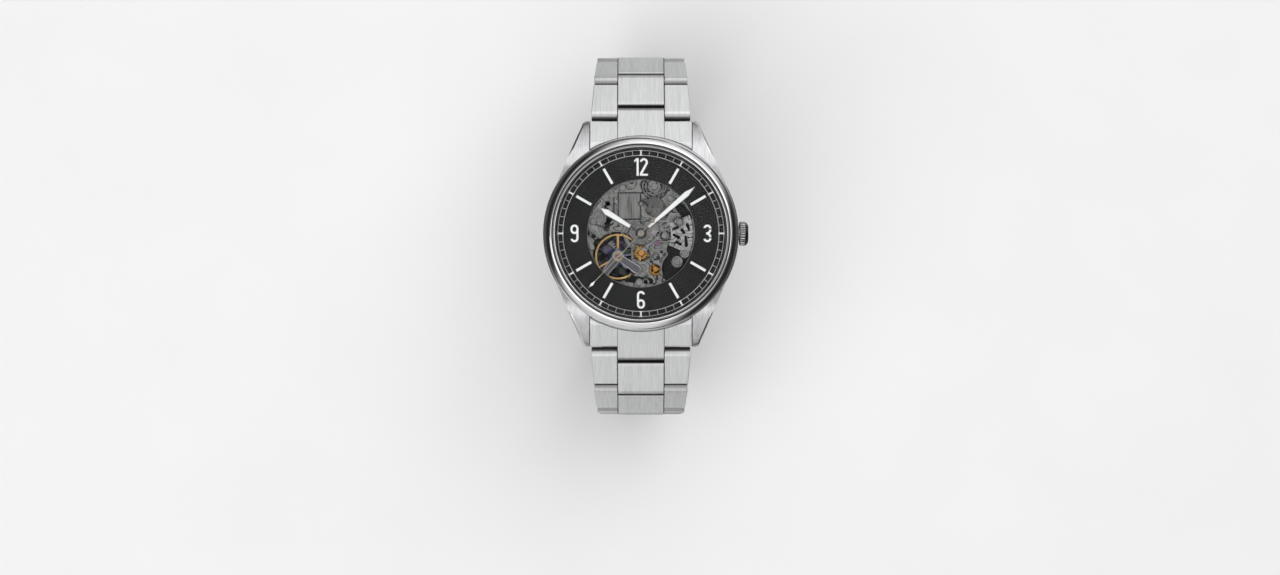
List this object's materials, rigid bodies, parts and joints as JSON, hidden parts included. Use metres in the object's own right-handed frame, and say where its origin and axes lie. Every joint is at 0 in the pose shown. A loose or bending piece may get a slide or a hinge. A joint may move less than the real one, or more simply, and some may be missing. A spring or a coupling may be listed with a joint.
{
  "type": "skeleton wristwatch",
  "caption": "Automatic skeleton wristwatch: round steel case, open black dial over a visible movement, closed three-row link bracelet with folding clasp.",
  "frame": {"origin": "centre of the wrist opening, on the wrist's axis", "axes": "+X to the crown along the wrist's axis, +Y to twelve o'clock, +Z out of the dial"},
  "size_m": [0.0438, 0.0798, 0.0517],
  "materials": {
    "steel_brushed": "brushed",
    "steel_polished": "polished",
    "crystal_glass": "clear",
    "dial_black": "matte",
    "white_paint": "matte",
    "gunmetal": "brushed, dark",
    "gilt_brass": "gilt",
    "ruby": "polished stone",
    "blue_steel": "blued spring steel",
    "gasket_rubber": "moulded"
  },
  "bodies": {
    "head": {"case_middle": "steel_brushed", "bezel": "steel_polished", "crystal": "crystal_glass", "rehaut_ring": "dial_black", "dial": "dial_black", "dial_markers": "white_paint", "movement_ring": "gunmetal", "case_back": "steel_brushed", "case_back_window": "crystal_glass", "gaskets": "gasket_rubber", "crown_tube": "steel_polished", "lug_spring_bars": "steel_polished", "end_links": "steel_brushed", "keyless_cover": "steel_polished", "main_plate": "gunmetal", "barrel_bridge": "gunmetal", "train_bridge": "gunmetal", "balance_bridge": "steel_polished", "jewels": "ruby", "plate_screws": "steel_polished", "hairspring": "blue_steel"},
    "setting_slide": {"setting_lever": "steel_polished"},
    "crown_stem": {"crown": "steel_polished", "winding_stem": "steel_polished"},
    "crown_wheel": {"crown_wheel": "steel_polished"},
    "ratchet_wheel": {"ratchet_wheel": "steel_polished"},
    "barrel": {"barrel": "gunmetal"},
    "centre_wheel": {"centre_wheel": "gilt_brass"},
    "third_wheel": {"third_wheel": "gilt_brass"},
    "seconds": {"fourth_wheel": "gilt_brass", "seconds_hand": "gilt_brass"},
    "escape_wheel": {"escape_wheel": "gilt_brass"},
    "pallet_fork": {"pallet_fork": "steel_polished"},
    "balance": {"balance_wheel": "gilt_brass"},
    "minute": {"cannon_pinion": "steel_polished", "minute_hand": "white_paint"},
    "hour": {"hour_wheel": "gilt_brass", "hour_hand": "white_paint"},
    "minute_wheel": {"minute_wheel": "gilt_brass"},
    "rotor": {"rotor": "gunmetal"},
    "reversing_wheel": {"reversing_wheel": "gilt_brass"},
    "link_12_1": {"link_12_1": "steel_brushed"},
    "link_12_2": {"link_12_2": "steel_brushed"},
    "link_12_3": {"link_12_3": "steel_brushed"},
    "link_12_4": {"link_12_4": "steel_brushed"},
    "link_12_5": {"link_12_5": "steel_brushed"},
    "link_12_6": {"link_12_6": "steel_brushed"},
    "link_12_7": {"link_12_7": "steel_brushed"},
    "link_6_1": {"link_6_1": "steel_brushed"},
    "link_6_2": {"link_6_2": "steel_brushed"},
    "link_6_3": {"link_6_3": "steel_brushed"},
    "link_6_4": {"link_6_4": "steel_brushed"},
    "link_6_5": {"link_6_5": "steel_brushed"},
    "link_6_6": {"link_6_6": "steel_brushed"},
    "link_6_7": {"link_6_7": "steel_brushed"},
    "clasp_inner": {"clasp_inner_blade": "steel_brushed"},
    "clasp_outer": {"clasp_outer_blade": "steel_brushed"},
    "clasp_cover": {"clasp_cover": "steel_brushed"},
    "button_left": {"clasp_button_left": "steel_polished"},
    "button_right": {"clasp_button_right": "steel_polished"}
  },
  "joints": [
    {"name": "crown_pull", "type": "slide", "parent": "head", "child": "setting_slide", "axis": [1, 0, 0], "range_m": [0, 0.0008]},
    {"name": "crown_turn", "type": "hinge", "parent": "setting_slide", "child": "crown_stem", "pos_m": [0.0112, 0, 0.02333], "axis": [1, 0, 0], "continuous": true},
    {"name": "crown_wheel_turn", "type": "hinge", "parent": "head", "child": "crown_wheel", "pos_m": [0.0061, 0.0051, 0.02083], "axis": [0, 0, -1], "continuous": true},
    {"name": "ratchet_turn", "type": "hinge", "parent": "head", "child": "ratchet_wheel", "pos_m": [0, 0.0063, 0.02083], "axis": [0, 0, -1], "continuous": true},
    {"name": "seconds_turn", "type": "hinge", "parent": "head", "child": "seconds", "pos_m": [0, 0, 0.02203], "axis": [0, 0, -1], "continuous": true},
    {"name": "third_turn", "type": "hinge", "parent": "head", "child": "third_wheel", "pos_m": [0.00351, -0.00202, 0.02243], "axis": [0, 0, -1], "continuous": true},
    {"name": "centre_turn", "type": "hinge", "parent": "head", "child": "centre_wheel", "pos_m": [0, 0, 0.02273], "axis": [0, 0, -1], "continuous": true},
    {"name": "barrel_turn", "type": "hinge", "parent": "head", "child": "barrel", "pos_m": [0, 0.0063, 0.02383], "axis": [0, 0, -1], "continuous": true},
    {"name": "escape_turn", "type": "hinge", "parent": "head", "child": "escape_wheel", "pos_m": [0.0001, -0.0041, 0.02353], "axis": [0, 0, -1], "continuous": true},
    {"name": "pallet_rock", "type": "hinge", "parent": "head", "child": "pallet_fork", "pos_m": [-0.00175, -0.00435, 0.02353], "axis": [0, 0, -1], "range_deg": [-5, 5]},
    {"name": "balance_swing", "type": "hinge", "parent": "head", "child": "balance", "pos_m": [-0.0049, -0.0049, 0.02413], "axis": [0, 0, -1], "range_deg": [-270, 270]},
    {"name": "minute_turn", "type": "hinge", "parent": "head", "child": "minute", "pos_m": [0, 0, 0.02693], "axis": [0, 0, -1], "continuous": true},
    {"name": "hour_turn", "type": "hinge", "parent": "head", "child": "hour", "pos_m": [0, 0, 0.02673], "axis": [0, 0, -1], "continuous": true},
    {"name": "minute_wheel_turn", "type": "hinge", "parent": "head", "child": "minute_wheel", "pos_m": [0.00199, 0.00093, 0.02583], "axis": [0, 0, -1], "continuous": true},
    {"name": "rotor_turn", "type": "hinge", "parent": "head", "child": "rotor", "pos_m": [0, 0, 0.01993], "axis": [0, 0, -1], "continuous": true},
    {"name": "reversing_turn", "type": "hinge", "parent": "head", "child": "reversing_wheel", "pos_m": [0.0031, -0.0075, 0.02013], "axis": [0, 0, -1], "continuous": true},
    {"name": "bend_12_1", "type": "hinge", "parent": "head", "child": "link_12_1", "pos_m": [0, 0.0257, 0.02063], "axis": [1, 0, 0], "range_deg": [0, 30]},
    {"name": "bend_12_2", "type": "hinge", "parent": "link_12_1", "child": "link_12_2", "pos_m": [0, 0.03306, 0.01638], "axis": [1, 0, 0], "range_deg": [0, 27.89]},
    {"name": "bend_12_3", "type": "hinge", "parent": "link_12_2", "child": "link_12_3", "pos_m": [0, 0.03758, 0.00918], "axis": [1, 0, 0], "range_deg": [0, 26.37]},
    {"name": "bend_12_4", "type": "hinge", "parent": "link_12_3", "child": "link_12_4", "pos_m": [0, 0.03843, 0.00073], "axis": [1, 0, 0], "range_deg": [0, 24.66]},
    {"name": "bend_12_5", "type": "hinge", "parent": "link_12_4", "child": "link_12_5", "pos_m": [0, 0.03567, -0.00731], "axis": [1, 0, 0], "range_deg": [0, 22.66]},
    {"name": "bend_12_6", "type": "hinge", "parent": "link_12_5", "child": "link_12_6", "pos_m": [0, 0.03003, -0.01367], "axis": [1, 0, 0], "range_deg": [0, 20.23]},
    {"name": "bend_12_7", "type": "hinge", "parent": "link_12_6", "child": "link_12_7", "pos_m": [0, 0.02254, -0.01769], "axis": [1, 0, 0], "range_deg": [0, 17.01]},
    {"name": "clasp_bend", "type": "hinge", "parent": "link_12_7", "child": "clasp_inner", "pos_m": [0, 0.0142, -0.01933], "axis": [1, 0, 0], "range_deg": [0, 11.18]},
    {"name": "clasp_fold", "type": "hinge", "parent": "clasp_inner", "child": "clasp_outer", "pos_m": [0, -0.0077, -0.01883], "axis": [-1, 0, 0], "range_deg": [0, 140]},
    {"name": "cover_fold", "type": "hinge", "parent": "clasp_outer", "child": "clasp_cover", "pos_m": [0, 0.0116, -0.02038], "axis": [-1, 0, 0], "range_deg": [-140, 0]},
    {"name": "button_left_press", "type": "slide", "parent": "clasp_cover", "child": "button_left", "axis": [1, 0, 0], "range_m": [0, 0.0005], "stiffness_N_per_m": 800},
    {"name": "button_right_press", "type": "slide", "parent": "clasp_cover", "child": "button_right", "axis": [-1, 0, 0], "range_m": [0, 0.0005], "stiffness_N_per_m": 800},
    {"name": "bend_6_1", "type": "hinge", "parent": "head", "child": "link_6_1", "pos_m": [0, -0.0257, 0.02063], "axis": [1, 0, 0], "range_deg": [-30, 0]},
    {"name": "bend_6_2", "type": "hinge", "parent": "link_6_1", "child": "link_6_2", "pos_m": [0, -0.03306, 0.01638], "axis": [1, 0, 0], "range_deg": [-27.89, 0]},
    {"name": "bend_6_3", "type": "hinge", "parent": "link_6_2", "child": "link_6_3", "pos_m": [0, -0.03758, 0.00918], "axis": [1, 0, 0], "range_deg": [-26.37, 0]},
    {"name": "bend_6_4", "type": "hinge", "parent": "link_6_3", "child": "link_6_4", "pos_m": [0, -0.03843, 0.00073], "axis": [1, 0, 0], "range_deg": [-24.66, 0]},
    {"name": "bend_6_5", "type": "hinge", "parent": "link_6_4", "child": "link_6_5", "pos_m": [0, -0.03567, -0.00731], "axis": [1, 0, 0], "range_deg": [-22.66, 0]},
    {"name": "bend_6_6", "type": "hinge", "parent": "link_6_5", "child": "link_6_6", "pos_m": [0, -0.03003, -0.01367], "axis": [1, 0, 0], "range_deg": [-20.23, 0]},
    {"name": "bend_6_7", "type": "hinge", "parent": "link_6_6", "child": "link_6_7", "pos_m": [0, -0.02254, -0.01769], "axis": [1, 0, 0], "range_deg": [-17.01, 0]}
  ],
  "couplings": [
    {"joint": "crown_wheel_turn", "follows": "crown_turn", "ratio": -0.40625},
    {"joint": "ratchet_turn", "follows": "crown_turn", "ratio": 0.29545},
    {"joint": "third_turn", "follows": "seconds_turn", "ratio": -0.13333},
    {"joint": "centre_turn", "follows": "seconds_turn", "ratio": 0.016667},
    {"joint": "barrel_turn", "follows": "seconds_turn", "ratio": -0.0018939},
    {"joint": "escape_turn", "follows": "seconds_turn", "ratio": -12},
    {"joint": "minute_wheel_turn", "follows": "minute_turn", "ratio": -0.33333},
    {"joint": "hour_turn", "follows": "minute_turn", "ratio": 0.083333},
    {"joint": "reversing_turn", "follows": "rotor_turn", "ratio": -3.3333},
    {"joint": "cover_fold", "follows": "clasp_fold", "ratio": -1}
  ]
}
